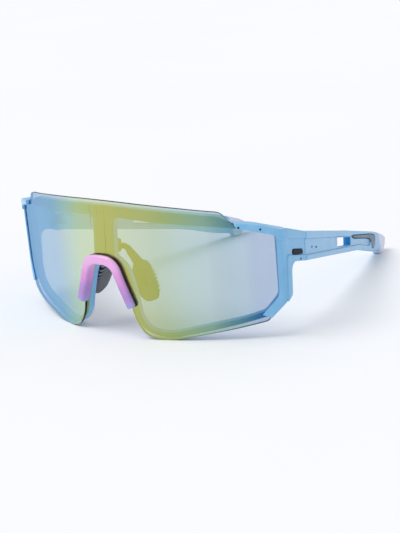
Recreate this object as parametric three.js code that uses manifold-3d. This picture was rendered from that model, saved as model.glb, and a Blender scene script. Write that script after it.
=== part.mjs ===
// Wraparound sport sunglasses with a one-piece shield lens.
// Units are millimetres. +Z is up, the lens faces -Y, and +X is the wearer's left.
// The glasses stand on the two lens lobes and the two temple tips, with the origin
// on that surface, under the middle of the whole object.

import * as THREE from 'three';
import { mergeVertices } from 'three/addons/utils/BufferGeometryUtils.js';
import Module from 'manifold-3d';

const wasm = await Module();
wasm.setup();

const radians = THREE.MathUtils.degToRad;

// ---------------------------------------------------------------- driving dimensions

// The lens is part of a cylinder whose axis leans forward at the top.
const lensRadius = 97.4;
const forwardLean = radians(3.6);
const axisBack = 93.7;
const lensThickness = 1.4;
const fit = 0.3;
const seatGap = 0.25;
const wrapStep = 6;

// Heights above the lens face: the frame lies behind the lens, the claws reach round to its front.
const frameFront = -lensThickness - fit;
const frameBack = -4.9;
const clawFront = 1.5;
const clipFront = 4.1;
const clipBack = 2.5;

// Each side: the seam between the endpiece and the temple, and the way each of them runs.
const seam = new THREE.Vector3(70.2, 43.3, 0);
const endpieceYaw = radians(8.3);
const templeYaw = radians(12);
const sideThickness = 4.4;
const panelDepth = 0.7;
const seatDepth = 0.75;
const seamGap = 0.4;

// Hinge stack, from the bottom up.
const pivotInset = 6.2;
const knuckleRadius = 2.3;
const lowerLug = [30.0, 32.8];
const tongue = [33.2, 37.4];
const upperLug = [37.8, 40.8];
const screwRadius = 0.8;
const screwHeadRadius = 1.5;
const screwHeadHeight = 0.9;
const counterbore = 1.3;
const hingePlay = 0.4;

// Temple tip.
const sockStart = 112;
const sockWall = 1.1;

// Nose pads.
const padCentre = new THREE.Vector3(11.4, 6.9, 22.6);
const padHeight = 18.4;
const padWidth = 12.8;
const padThickness = 3.2;
const padFlare = radians(23);
const padSplay = radians(8);
const armRadius = 1.4;
const wireRadius = 0.45;
const armSteps = 14;
const saddleDepth = 3.6;
const hookReach = 1.5;

// Colours of the finishes.
const colours = {
  frame: 0x8dbce6,
  lens: 0x9fb6a8,
  clip: 0xe08cd4,
  black: 0x141417,
  grey: 0x7c8496,
  steel: 0xb9bcc2,
  tip: 0xc3cce6,
};

// ---------------------------------------------------------------- outlines

// A closed outline from clockwise corners [x, y, radius]: each corner is rounded by a smooth curve.
function roundedShape(clockwise) {
  const corners = clockwise.toReversed();
  const shape = new THREE.Shape();
  corners.forEach(([x, y, radius = 0], index) => {
    const before = corners[(index + corners.length - 1) % corners.length];
    const after = corners[(index + 1) % corners.length];
    const start = towards([x, y], before, radius);
    const end = towards([x, y], after, radius);
    if (index === 0) shape.moveTo(...start);
    else shape.lineTo(...start);
    if (radius > 0) shape.quadraticCurveTo(x, y, ...end);
  });
  shape.closePath();
  return shape;
}

// The point at the given distance from one corner towards another, at most half way.
function towards(from, to, distance) {
  const length = Math.hypot(to[0] - from[0], to[1] - from[1]);
  const share = Math.min(distance / length, 0.5);
  return [from[0] + (to[0] - from[0]) * share, from[1] + (to[1] - from[1]) * share];
}

// The corners with their mirror images across x = 0 added, for a half outline from top to bottom.
function bothHalves(corners) {
  const offAxis = corners.filter(([x]) => x !== 0);
  const mirror = offAxis.map(([x, y, radius]) => [-x, y, radius]).reverse();
  return [...corners, ...mirror];
}

// The outline moved outwards by a distance; corners run clockwise.
function grown(corners, distance) {
  return corners.map(([x, y, radius], index) => {
    const before = corners[(index + corners.length - 1) % corners.length];
    const after = corners[(index + 1) % corners.length];
    const first = leftNormal(before, [x, y]);
    const second = leftNormal([x, y], after);
    const scale = distance / (1 + first[0] * second[0] + first[1] * second[1]);
    return [x + (first[0] + second[0]) * scale, y + (first[1] + second[1]) * scale, radius];
  });
}

function leftNormal(from, to) {
  const length = Math.hypot(to[0] - from[0], to[1] - from[1]);
  return [-(to[1] - from[1]) / length, (to[0] - from[0]) / length];
}

// Outlines on the lens face are [distance along the curve, height], clockwise from the top.
const lensHalf = [
  [0, 66.1, 20],
  [29, 64.3, 20],
  [54, 61.2, 2.5],
  [56.6, 57.6, 2.5],
  [60.4, 55.0, 2],
  [77.5, 51.0, 1],
  [77.5, 22.2, 1.5],
  [70.9, 12.4, 1.2],
  [45.4, 8.5, 8],
  [27, 5.6, 6],
  [18, 8.6, 4],
  [13.6, 14.6, 3],
  [12.2, 21, 4],
  [7.6, 35.6, 3],
  [4.6, 40.2, 3],
  [0, 40.4, 2],
];

const frameHalf = [
  [0, 64.2, 20],
  [29, 62.4, 20],
  [53, 59.4, 3],
  [58.6, 56.0, 3],
  [66, 55.6, 3],
  [80.6, 51.2, 1],
  [80.6, 34, 6],
  [79.3, 21.3, 1.5],
  [71.6, 13.9, 1],
  [45.4, 9.1, 8],
  [27, 6.2, 6],
  [17.4, 9.0, 4],
  [12.4, 14.8, 3],
  [11, 21, 4],
  [6.6, 34.8, 3],
  [4, 38.8, 3],
  [0, 39, 2],
];

const eyeOpening = [
  [5.6, 57.4, 1],
  [7.6, 59.0, 1],
  [22, 57.7, 8],
  [49, 54.2, 10],
  [76.4, 48.6, 1.5],
  [76.4, 22.6, 2],
  [70.4, 16.4, 1.5],
  [61, 14.3, 6],
  [45, 12.1, 8],
  [27, 8.5, 6],
  [19.4, 10.2, 3],
  [15.4, 15.0, 3],
  [14.2, 26, 6],
  [12.4, 33.6, 4],
  [10.6, 38.6, 3],
  [5.6, 42.4, 1],
];

const claw = [
  [58.9, 56.9, 0.6],
  [66, 56.2, 3],
  [72, 54.5, 4],
  [80.9, 51.8, 1],
  [80.9, 34, 6],
  [79.6, 21, 1.5],
  [72, 13.7, 0.6],
  [68, 15.7, 0.6],
  [74.8, 22.2, 2],
  [75.9, 24.4, 2],
  [75.9, 50.1, 1],
  [64, 53.6, 3],
  [60.2, 54.2, 0.6],
];

const clipHalf = [
  [0, 43.4, 3],
  [5, 43.0, 3.5],
  [8.8, 40.0, 3],
  [11.5, 31.2, 6],
  [15.1, 21.6, 0.8],
  [11.7, 20.2, 0.8],
  [8.4, 29.2, 6],
  [5.7, 37.2, 2.5],
  [3.4, 39.0, 2],
  [0, 39.2, 2],
];

// Outlines on the side are [distance behind the seam, height], clockwise from the top front.
const endpiece = [
  [-18.4, 47.2, 0],
  [1, 41.6, 0],
  [1, 28.7, 0],
  [-17.4, 32.2, 1],
];

const endpiecePanel = [
  [-13.5, 42.1, 1.2],
  [2, 38.2, 0],
  [2, 31.2, 0],
  [-13.5, 34.4, 1.2],
];

const temple = [
  [seamGap / 2, 41.8, 0.4],
  [69, 24.5, 12],
  [106, 14.7, 4],
  [sockStart - 0.8, 12.7, 0],
  [sockStart + 3.6, 2.3, 0],
  [100.5, 5.8, 4],
  [79.5, 12.4, 8],
  [seamGap / 2, 28.9, 0.4],
];

const templePanel = [
  [-1, 38.7, 0],
  [69, 22.0, 8],
  [101.5, 13.6, 3],
  [98, 9.4, 3],
  [80, 14.9, 4],
  [-1, 31.6, 0],
];

const templeWindow = [
  [46.4, 27.2, 0.8],
  [66.8, 22.3, 0.8],
  [66.8, 17.9, 0.8],
  [46.4, 22.0, 0.8],
];

const grip = [
  [68.8, 22.2, 0.4],
  [99, 15.2, 4],
  [106.8, 12.6, 2.2],
  [106.8, 9.0, 3],
  [104, 6.9, 0.5],
  [101, 8.2, 0.8],
  [99.8, 12.8, 2.5],
  [92, 15.2, 3],
  [72, 20.2, 2],
];

const sock = [
  [sockStart - 0.4, 12.9, 0],
  [120.5, 9.6, 3],
  [125.6, 7.0, 1.4],
  [124.4, 3.2, 3],
  [121, 0.3, 1.2],
  [116.6, 0.3, 1.0],
  [sockStart + 4.0, 2.0, 0],
];

const sockCore = [
  [sockStart - 6, 12.4, 0],
  [121.6, 8.0, 1.5],
  [121.6, 3.6, 1.5],
  [118.6, 2.0, 1],
  [sockStart - 2, 5.2, 0],
];

const knuckleRoot = [
  [3.4, 38.0, 0],
  [9, 36.6, 0],
  [9, 32.6, 0],
  [3.4, 32.8, 0],
];

const badge = [
  [-12.2, 37.0, 1.1],
  [-3.2, 35.0, 1.1],
  [-3.2, 32.8, 1.1],
  [-12.2, 34.8, 1.1],
];

// ---------------------------------------------------------------- solids

// A straight plate of the outline, from one height to another along +Z.
function plate(corners, from, to, holes = []) {
  const shape = roundedShape(corners);
  shape.holes = holes.map(roundedShape);
  const geometry = new THREE.ExtrudeGeometry(shape, {
    depth: to - from,
    bevelEnabled: false,
    curveSegments: 3,
  });
  return geometry.translate(0, 0, from);
}

function solid(geometry) {
  const bare = geometry.index ? geometry.toNonIndexed() : geometry.clone();
  bare.deleteAttribute('normal');
  bare.deleteAttribute('uv');
  const merged = mergeVertices(bare, 1e-4);
  return new wasm.Manifold(new wasm.Mesh({
    numProp: 3,
    vertProperties: new Float32Array(merged.attributes.position.array),
    triVerts: new Uint32Array(merged.index.array),
  }));
}

function geometryOf(body) {
  const mesh = body.getMesh();
  const geometry = new THREE.BufferGeometry();
  const corners = new Float32Array(mesh.vertProperties);
  geometry.setAttribute('position', new THREE.BufferAttribute(corners, 3));
  geometry.setIndex(new THREE.BufferAttribute(new Uint32Array(mesh.triVerts), 1));
  const faceted = geometry.toNonIndexed();
  faceted.computeVertexNormals();
  return faceted;
}

// The triangles of a flat plate cut into strips across X, without the faces between strips.
// No side of the plate may lie on a whole step.
function strips(flat, step) {
  const whole = solid(flat);
  const { min, max } = new THREE.Box3().setFromBufferAttribute(flat.attributes.position);
  const corners = [];
  for (let k = Math.floor(min.x / step); k * step < max.x; k += 1) {
    const window = block([k * step, (k + 1) * step], [min.y - 1, max.y + 1], [min.z - 1, max.z + 1]);
    const { position } = geometryOf(whole.intersect(solid(window))).attributes;
    for (let i = 0; i < position.count; i += 3) {
      const triangle = [0, 1, 2].map((j) => new THREE.Vector3().fromBufferAttribute(position, i + j));
      const onCut = [k, k + 1].some((edge) => triangle.every((p) => Math.abs(p.x - edge * step) < 1e-3));
      if (!onCut) corners.push(...triangle);
    }
  }
  return stitched(welded(corners));
}

// The points, with those closer together than a hair made the same.
function welded(points) {
  const kept = [];
  return points.map((point) => {
    const twin = kept.find((other) => other.distanceToSquared(point) < 1e-7);
    if (!twin) kept.push(point);
    return twin ?? point;
  });
}

// The triangles divided wherever a corner of the next strip lies on one of their cut edges.
function stitched(points) {
  const corners = [...new Set(points)];
  const queue = [];
  for (let i = 0; i < points.length; i += 3) queue.push(points.slice(i, i + 3));
  const finished = [];
  while (queue.length > 0) {
    const triangle = queue.pop();
    const halves = halved(triangle, corners);
    if (halves) queue.push(...halves);
    else finished.push(...triangle);
  }
  return finished;
}

function halved(triangle, corners) {
  for (const turn of [0, 1, 2]) {
    const [a, b, c] = [0, 1, 2].map((i) => triangle[(turn + i) % 3]);
    const alongCut = Math.abs(a.x - b.x) < 1e-3 && Math.abs(a.z - b.z) < 1e-3;
    const [low, high] = [Math.min(a.y, b.y) + 1e-3, Math.max(a.y, b.y) - 1e-3];
    const between = alongCut && corners.find((p) => (
      Math.abs(p.x - a.x) < 1e-3 && Math.abs(p.z - a.z) < 1e-3 && p.y > low && p.y < high
    ));
    if (between) return [[a, between, c], [between, b, c]];
  }
  return null;
}

// A flat plate (along, height, height above the lens face) bent round the lens in flat strips.
function wrapped(flat) {
  const points = strips(flat, wrapStep).map((corner) => {
    const strip = Math.round(corner.x / wrapStep - 0.5);
    const [start, end] = [strip, strip + 1].map((k) => lensPoint(k * wrapStep, corner.y, corner.z));
    return start.lerp(end, corner.x / wrapStep - strip);
  });
  return new THREE.BufferGeometry().setFromPoints(welded(points));
}

// A point near the lens in the glasses' frame: along the curve, up it, and proud of its face.
function lensPoint(along, height, proud) {
  const angle = along / lensRadius;
  const radius = lensRadius + proud;
  return new THREE.Vector3(radius * Math.sin(angle), -radius * Math.cos(angle), height)
    .applyMatrix4(leaning);
}

// A plate of a side outline: from one depth to another behind the outer face, in the side's frame,
// where +X points outwards, +Y backwards from the seam and +Z up.
function sidePlate(corners, from, to) {
  const flat = plate(corners, from, to);
  const standing = new THREE.Matrix4().makeBasis(
    new THREE.Vector3(0, 1, 0),
    new THREE.Vector3(0, 0, 1),
    new THREE.Vector3(1, 0, 0),
  );
  return flat.applyMatrix4(standing);
}

function upright(radius, from, to, segments = 16) {
  const cylinder = new THREE.CylinderGeometry(radius, radius, to - from, segments);
  return cylinder.rotateX(Math.PI / 2).translate(-pivotInset, 0, (from + to) / 2);
}

function block(xs, ys, zs) {
  const box = new THREE.BoxGeometry(xs[1] - xs[0], ys[1] - ys[0], zs[1] - zs[0]);
  return box.translate((xs[0] + xs[1]) / 2, (ys[0] + ys[1]) / 2, (zs[0] + zs[1]) / 2);
}

function joined(...geometries) {
  return geometries.map(solid).reduce((whole, piece) => whole.add(piece));
}

function mirrored(geometry) {
  const copy = geometry.index ? geometry.toNonIndexed() : geometry.clone();
  const position = copy.attributes.position;
  for (let i = 0; i < position.count; i += 3) {
    const points = [0, 2, 1].map((j) => new THREE.Vector3().fromBufferAttribute(position, i + j));
    points.forEach((p, j) => position.setXYZ(i + j, -p.x, p.y, p.z));
  }
  copy.deleteAttribute('uv');
  copy.computeVertexNormals();
  return copy;
}

const leaning = new THREE.Matrix4().makeRotationX(forwardLean).setPosition(0, axisBack, 0);
const endpiecePlace = new THREE.Matrix4().makeRotationZ(endpieceYaw).setPosition(seam);
const templePlace = new THREE.Matrix4().makeRotationZ(templeYaw).setPosition(seam);

// ---------------------------------------------------------------- the front

function lensShield() {
  return wrapped(plate(bothHalves(lensHalf), -lensThickness, 0));
}

// Rim, centre post and nose arch behind the lens.
function rim() {
  const mirroredOpening = eyeOpening.map(([x, y, radius]) => [-x, y, radius]);
  return wrapped(plate(bothHalves(frameHalf), frameBack, frameFront, [eyeOpening, mirroredOpening]));
}

// The claw that reaches round the end of the lens, with the lens's slot cut out of it.
function leftClaw() {
  const hook = solid(wrapped(plate(claw, frameFront - 0.5, clawFront)));
  const slot = grown(bothHalves(lensHalf), fit);
  return hook.subtract(solid(wrapped(plate(slot, frameFront + 0.05, fit))));
}

// Endpiece from the claw to the seam, with its sunk panel, the badge's seat and the two hinge lugs.
function leftEndpiece() {
  const bar = solid(sidePlate(endpiece, -sideThickness, 0));
  const panel = solid(sidePlate(endpiecePanel, -panelDepth, 1));
  const seat = solid(sidePlate(grown(badge, seatGap), -panelDepth - seatDepth, 1));
  return transformed(bar.subtract(panel).subtract(seat), endpiecePlace);
}

function transformed(body, matrix) {
  return solid(geometryOf(body).applyMatrix4(matrix));
}

// The fixed half of the hinge, in the temple's frame.
function hingeLugs() {
  const lugs = [lowerLug, upperLug].map(([from, to]) => joined(
    upright(knuckleRadius, from, to),
    block([-pivotInset, -2.6], [-knuckleRadius * 2, -1.2], [from, to]),
    block([-pivotInset - knuckleRadius, -2.6], [-5, 0], [from, to]),
  ));
  const hole = solid(upright(screwRadius + fit, lowerLug[0] - 1, upperLug[1] + 1));
  const headSeat = solid(upright(screwHeadRadius + fit, upperLug[1] - counterbore, upperLug[1] + 1));
  const nutSeat = solid(upright(screwHeadRadius + fit, lowerLug[0] - 1, lowerLug[0] + counterbore));
  return lugs[0].add(lugs[1]).subtract(hole).subtract(headSeat).subtract(nutSeat);
}

function frontFrame() {
  const tongueRoom = upright(knuckleRadius + 0.5, tongue[0] - hingePlay, tongue[1] + hingePlay);
  const tonguePath = solid(tongueRoom);
  const templeRoom = solid(block([-9, 3], [-seamGap / 2, 4], [20, 50]));
  const side = leftClaw()
    .add(leftEndpiece().subtract(transformed(templeRoom.add(tonguePath), templePlace)))
    .add(transformed(hingeLugs(), templePlace));
  const otherSide = solid(mirrored(geometryOf(side)));
  const hookSlot = solid(wrapped(plate(rectangle(-2.9, 2.9, 36, 40.5), frameBack - 1, 1)));
  const studRoom = rectangle(-1.6, 1.6, 44.0, 46.6);
  const studHole = solid(wrapped(plate(studRoom, frameBack - 1, frameBack + 1.6)));
  return solid(rim()).add(side).add(otherSide).subtract(hookSlot).subtract(studHole);
}

function rectangle(left, right, bottom, top, radius = 0) {
  return [
    [left, top, radius],
    [right, top, radius],
    [right, bottom, radius],
    [left, bottom, radius],
  ];
}

// ---------------------------------------------------------------- nose parts

// Coloured cap over the nose notch, with a tongue that hooks behind the frame's arch.
function noseClip() {
  const cap = wrapped(plate(bothHalves(clipHalf), clipBack, clipFront));
  const tongueEnd = frameBack - hookReach;
  const tongueBar = wrapped(plate(rectangle(-2.2, 2.2, 39.1, 40.1), tongueEnd, clipBack + 0.5));
  const barb = wrapped(plate(rectangle(-2.2, 2.2, 39.1, 41.5), tongueEnd, frameBack - 0.4));
  return joined(cap, tongueBar, barb);
}

function noseGasket() {
  const ring = solid(wrapped(plate(bothHalves(clipHalf), fit, clipBack - fit)));
  return ring.subtract(solid(wrapped(plate(rectangle(-2.6, 2.6, 36, 40.5), -1, clipBack + 1))));
}

// Saddle pushed onto the back of the post, with a socket for each pad arm.
function noseSaddle() {
  const outline = rectangle(-5, 5, 42.4, 48.2, 1);
  const back = wrapped(plate(outline, frameBack - saddleDepth, frameBack - fit));
  const stud = wrapped(plate(rectangle(-1.2, 1.2, 44.4, 46.2), frameBack - 1, frameBack + 1.2));
  const socket = solid(armTube(armRadius + 0.7));
  return joined(back, stud).subtract(socket).subtract(solid(mirrored(armTube(armRadius + 0.7))));
}

const armRoute = new THREE.CatmullRomCurve3([
  lensPoint(2.6, 45.4, frameBack - 2.0),
  new THREE.Vector3(5.2, 1.8, 38.4),
  new THREE.Vector3(7.0, 2.8, 36.0),
  new THREE.Vector3(9.0, 4.8, 31.6),
  new THREE.Vector3(10.9, 6.4, 27.5),
  new THREE.Vector3(12.6, 6.9, 23.5),
]);

function armTube(radius, to = 1) {
  const section = new THREE.Shape();
  section.absarc(0, 0, radius, 0, Math.PI * 2);
  const points = armRoute.getSpacedPoints(armSteps).slice(0, Math.round(to * armSteps) + 1);
  return new THREE.ExtrudeGeometry(section, {
    steps: points.length - 1,
    bevelEnabled: false,
    curveSegments: 5,
    extrudePath: new THREE.CatmullRomCurve3(points),
  });
}

function noseArm() {
  return solid(armTube(armRadius)).subtract(solid(armTube(wireRadius + 0.3, 0.95)));
}

function noseWire() {
  return solid(armTube(wireRadius, 0.9));
}

// Oval pad, leaning like the side of a nose, with a socket that holds the arm.
function nosePad() {
  const outline = [
    [-padWidth * 0.42, padHeight / 2, 4],
    [padWidth * 0.3, padHeight * 0.5, 4],
    [padWidth / 2, 0, 5],
    [padWidth * 0.34, -padHeight / 2, 4],
    [-padWidth * 0.3, -padHeight / 2, 4],
    [-padWidth / 2, 0, 5],
  ];
  const oval = sidePlate(outline, -padThickness / 2, padThickness / 2);
  const boss = block([0, 3.6], [-2.4, 2.4], [-3.2, 7.4]);
  const turn = new THREE.Matrix4().makeRotationZ(-padSplay)
    .multiply(new THREE.Matrix4().makeRotationY(-padFlare))
    .setPosition(padCentre);
  const pad = transformed(joined(oval, boss), turn);
  return pad.subtract(solid(armTube(armRadius + 0.3)));
}

// ---------------------------------------------------------------- temple parts

function templeArm() {
  const lugRoom = knuckleRadius + 0.5;
  const lowerRoom = solid(upright(lugRoom, lowerLug[0] - 1.5, lowerLug[1] + hingePlay));
  const upperRoom = solid(upright(lugRoom, upperLug[0] - 1.5, upperLug[1] + 6 * hingePlay));
  const knuckle = joined(
    upright(knuckleRadius, ...tongue),
    block([-pivotInset - 0.6, -2.6], [0, 6], tongue),
    sidePlate(knuckleRoot, -pivotInset, -2.6),
  );
  return solid(sidePlate(temple, -sideThickness, 0))
    .subtract(solid(sidePlate(templePanel, -panelDepth, 1)))
    .subtract(solid(sidePlate(templeWindow, -sideThickness - 1, 1)))
    .subtract(solid(sidePlate(grown(grip, seatGap), -panelDepth - seatDepth, 1)))
    .subtract(lowerRoom)
    .subtract(upperRoom)
    .add(knuckle.subtract(solid(upright(screwRadius + fit, tongue[0] - 1, tongue[1] + 1))))
    .add(solid(sidePlate(sockCore, -sideThickness / 2 - 0.9, -sideThickness / 2 + 0.9)));
}

function gripInsert() {
  return sidePlate(grip, -panelDepth - 0.6, 0.1);
}

function tipSock() {
  const inside = grown(sockCore, 0.35);
  const room = sidePlate(inside, -sideThickness / 2 - 1.3, -sideThickness / 2 + 1.3);
  return solid(sidePlate(sock, -sideThickness - 0.2, 0.2)).subtract(solid(room));
}

function hingeScrew() {
  const headBase = upperLug[1] - counterbore + 0.2;
  const headTop = headBase + screwHeadHeight;
  const shaft = upright(screwRadius, lowerLug[0] + 0.2, headTop - 0.1);
  const head = upright(screwHeadRadius, headBase, headTop);
  const slot = block([-pivotInset - 0.2, -pivotInset + 0.2], [-2, 2], [headTop - 0.4, headTop + 1]);
  return joined(shaft, head).subtract(solid(slot));
}

function hingeNut() {
  const hexagon = solid(upright(screwHeadRadius, lowerLug[0] + 0.1, lowerLug[0] + 1.0, 6));
  const thread = solid(upright(screwRadius + seatGap, lowerLug[0] - 1, lowerLug[0] + 2));
  return hexagon.subtract(thread);
}

function badgeInlay() {
  return sidePlate(badge, -panelDepth - 0.5, -panelDepth + 0.25);
}

// ---------------------------------------------------------------- assembly

function material(colour, roughness, metalness = 0) {
  return new THREE.MeshStandardMaterial({ color: colour, roughness, metalness });
}

const finishes = {
  frame: material(colours.frame, 0.38),
  lens: material(colours.lens, 0.05, 0.6),
  clip: material(colours.clip, 0.4),
  rubber: material(colours.black, 0.75),
  grip: material(colours.grey, 0.7),
  steel: material(colours.steel, 0.3, 1),
  tip: material(colours.tip, 0.5),
};

function named(name, shape, finish) {
  const geometry = shape.isBufferGeometry ? shape : geometryOf(shape);
  const mesh = new THREE.Mesh(geometry, finish);
  mesh.name = name;
  return mesh;
}

// A left and a right piece from the left one.
function pair(name, shape, finish) {
  const left = named(`${name}_left`, shape, finish);
  const right = named(`${name}_right`, mirrored(left.geometry), finish);
  return [left, right];
}

const front = new THREE.Group();
front.add(named('lens_shield', lensShield(), finishes.lens));
front.add(named('front_frame', frontFrame(), finishes.frame));
front.add(named('nose_clip', noseClip(), finishes.clip));
front.add(named('nose_clip_gasket', noseGasket(), finishes.rubber));
front.add(named('nose_saddle', noseSaddle(), finishes.rubber));
front.add(...pair('nose_arm', noseArm(), finishes.rubber));
front.add(...pair('nose_wire', noseWire(), finishes.steel));
front.add(...pair('nose_pad', nosePad(), finishes.rubber));

const sides = [new THREE.Group(), new THREE.Group()];
const endSides = [new THREE.Group(), new THREE.Group()];
for (const [index, sign] of [1, -1].entries()) {
  sides[index].position.set(sign * seam.x, seam.y, seam.z);
  sides[index].rotation.z = sign * templeYaw;
  endSides[index].position.copy(sides[index].position);
  endSides[index].rotation.z = sign * endpieceYaw;
}

const templePieces = [
  pair('temple', templeArm(), finishes.frame),
  pair('temple_grip', gripInsert(), finishes.grip),
  pair('tip_sock', tipSock(), finishes.tip),
  pair('hinge_screw', hingeScrew(), finishes.steel),
  pair('hinge_nut', hingeNut(), finishes.steel),
];
templePieces.forEach((pieces) => pieces.forEach((piece, index) => sides[index].add(piece)));
pair('badge', badgeInlay(), finishes.rubber).forEach((piece, index) => endSides[index].add(piece));

const sunglasses = new THREE.Group();
sunglasses.add(front, ...sides, ...endSides);

// Stand the glasses on the surface, centred on the origin.
const extent = new THREE.Box3().setFromObject(sunglasses);
sunglasses.position.y = -(extent.min.y + extent.max.y) / 2;
sunglasses.position.z = -extent.min.z;
sunglasses.updateMatrixWorld(true);

export default sunglasses;
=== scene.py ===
"""Wraparound sport sunglasses with a one-piece shield lens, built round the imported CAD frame.

Outlines are in millimetres. A front piece is drawn flat as (along the lens, height) with
its thickness measured out from the lens face, and is then bent round the lens. A side
piece is drawn flat as (behind the seam, height) with its thickness measured outwards.
"""

import math

import bmesh
import bpy
from mathutils import Matrix, Vector


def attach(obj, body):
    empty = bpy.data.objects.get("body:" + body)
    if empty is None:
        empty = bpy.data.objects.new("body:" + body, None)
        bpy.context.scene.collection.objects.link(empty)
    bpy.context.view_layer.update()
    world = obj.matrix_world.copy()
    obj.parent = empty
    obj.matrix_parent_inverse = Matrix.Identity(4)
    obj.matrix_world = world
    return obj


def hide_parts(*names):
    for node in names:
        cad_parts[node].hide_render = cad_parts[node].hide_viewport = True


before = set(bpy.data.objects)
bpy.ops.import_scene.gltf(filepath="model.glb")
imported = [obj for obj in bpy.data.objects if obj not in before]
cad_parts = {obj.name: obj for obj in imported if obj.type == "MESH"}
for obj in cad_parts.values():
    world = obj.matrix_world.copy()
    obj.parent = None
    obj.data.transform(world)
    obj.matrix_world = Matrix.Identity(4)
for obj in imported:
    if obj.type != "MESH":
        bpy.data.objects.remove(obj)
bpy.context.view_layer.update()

MM = 0.001

# ------------------------------------------------------------- driving dimensions

ROW_SHIFT = Vector((0, -77.780, -0.300))
LENS_RADIUS = 97.4
FORWARD_LEAN = math.radians(3.6)
AXIS_BACK = 93.7
LENS_THICKNESS = 1.4
FIT = 0.3
FRAME_FRONT = -LENS_THICKNESS - FIT
FRAME_BACK = -4.9
CLAW_FRONT = 1.5
CLIP_FRONT = 2.9
CLIP_BACK = 0.5
# Rectangles are [left, right, bottom, top], and depths and heights [low, high].
CLIP_TONGUE = (-2.2, 2.2, 39.2, 40.1)
TONGUE_DEPTHS = (-6.4, 2.5)
ARCH_SLOT = (-2.9, 2.9, 36, 40.5)
SADDLE = (-5, 5, 42.4, 48.2)
SADDLE_DEPTHS = (FRAME_BACK - 3.6, FRAME_BACK - 0.1)

SEAM = Vector((70.2, 43.3, 0))
HOOK_YAW = math.radians(3.9)
CORNER_START = 78.1
CORNER_END = 79.1
SEAM_ALONG = 96.65
TEMPLE_YAW = math.radians(12)
SIDE_THICKNESS = 4.4
HOOK_THICKNESS = 4.0
NOSE_BULGE = 2.2
BULGE_ENDS_ALONG = (48, 6)
BULGE_ENDS_UP = (66, 42)
PANEL_DEPTH = 0.7
PIVOT_INSET = 6.2
KNUCKLE_RADIUS = 2.3
LOWER_LUG = (30.0, 32.8)
TONGUE = (33.2, 37.4)
UPPER_LUG = (37.8, 40.8)
LUG_REACH = 5
LUG_FACE = -2.6
HEAD_RADIUS = 1.8
HEAD_SEATS = ((29.0, 31.3), (39.5, 41.8))
INSERT_GAP = 0.25
BADGE_SEAT = 0.75
GRIP_SEAT = 0.9
WINDOW_FRONT = 46.4
WINDOW_REAR = 66.8
WINDOW_LOW = 17.9
WINDOW_TOP = 27.2
WINDOW_SPLITS = (50, 56, 62)

PAD_CENTRE = Vector((11.4, 6.6, 22.6))
PAD_HALF = Vector((1.6, 6.4, 9.3))
RIB_PITCH = 1.7
RIB_SLANT = 0.5
RIB_DEPTH = 0.35
RIB_SHARPNESS = 2.5
REAR_RIBS = (3.5, 5.5)
PAD_BOSS = (-2.4, 2.4, -3.2, 7.4)
PAD_BOSS_HEIGHT = 3.6
REAR_RIB_GAIN = 3.2
PAD_OVAL = 2.6
PAD_CUSHION = 3
PAD_FLARE = math.radians(23)
PAD_SPLAY = math.radians(8)
ARM_RADIUS = 1.2
ARM_SPREAD = 1.1
ARM_SPREADS_OVER = (0.15, 0.75)

NORMAL_WEIGHT = 60
SLICE = 2.0
SIDE_SLICE = 4.0

# ------------------------------------------------------------- outlines, clockwise

LENS_HALF = [
    (0, 66.8, 20), (29, 65.0, 20), (54, 61.6, 2.5), (56.6, 57.6, 2.5), (60.4, 55.0, 2),
    (77.5, 51.0, 1), (77.5, 22.2, 1.5), (70.9, 12.4, 1.2), (45.4, 8.5, 8), (27, 5.6, 6),
    (18, 7.8, 3), (14.0, 14.0, 3), (12.6, 21, 4), (7.6, 35.6, 3), (4.6, 40.2, 3), (0, 40.4, 2),
]
FRAME_HALF = [
    (0, 64.2, 20), (29, 62.4, 20), (53, 59.4, 3), (58.6, 56.0, 3), (66, 55.6, 3),
    (80.6, 51.2, 1), (80.6, 34, 6), (79.3, 21.3, 1.5), (71.6, 13.9, 1), (45.4, 9.1, 8),
    (27, 6.2, 6), (17.4, 9.0, 4), (12.4, 14.8, 3), (11, 21, 4), (6.6, 34.8, 3),
    (4, 38.8, 3), (0, 39, 2),
]
EYE_OPENING = [
    (5.6, 57.4, 1), (7.6, 59.0, 1), (22, 57.7, 8), (50, 55.2, 8), (61, 53.4, 6), (76.4, 49.8, 1.5),
    (76.4, 22.6, 2), (70.4, 16.4, 1.5), (61, 14.3, 6), (45, 12.1, 8), (27, 8.5, 6),
    (19.4, 10.2, 3), (15.4, 15.0, 3), (14.2, 26, 6), (12.4, 33.6, 4), (10.6, 38.6, 3),
    (5.6, 42.4, 1),
]
# The hook runs along the lens, round the corner and back to the seam: [along it, height].
HOOK = [
    (58.9, 51.6, 0.6), (66, 51.2, 4), (72, 49.8, 6), (96.45, 41.9, 0), (96.45, 29.0, 0),
    (85.6, 31.4, 1.5), (83.1, 29.6, 2), (83.1, 17.4, 1.5), (78.6, 15.4, 1.5), (72, 9.2, 0.6),
    (68, 10.9, 0.6), (74.8, 17.7, 2), (75.9, 19.9, 2), (75.9, 45.4, 1.5), (64, 48.6, 3),
    (60.2, 49.0, 0.6),
]
HOOK_PANEL = [
    (74, 43.9, 0), (79, 43.0, 3), (97.5, 38.5, 0), (97.5, 31.4, 0), (80.2, 35.6, 0.6),
    (79.2, 33.6, 1.5), (79.2, 6, 0), (65, 6, 0), (70, 16, 0), (74, 20, 0),
]
CLIP_HALF = [
    (0, 43.4, 3), (5, 43.0, 3.5), (8.8, 40.0, 3), (11.5, 31.2, 6), (15.1, 21.6, 0.8),
    (11.7, 20.2, 0.8), (8.4, 29.2, 6), (5.7, 37.2, 2.5), (3.4, 39.0, 2), (0, 39.2, 2),
]
TEMPLE = [
    (0.2, 41.8, 0.5), (69, 24.5, 12), (106, 14.7, 4), (111.6, 12.7, 0), (115.9, 2.3, 0),
    (100.5, 5.8, 4), (79.5, 12.4, 8), (0.2, 28.9, 0.5),
]
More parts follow.
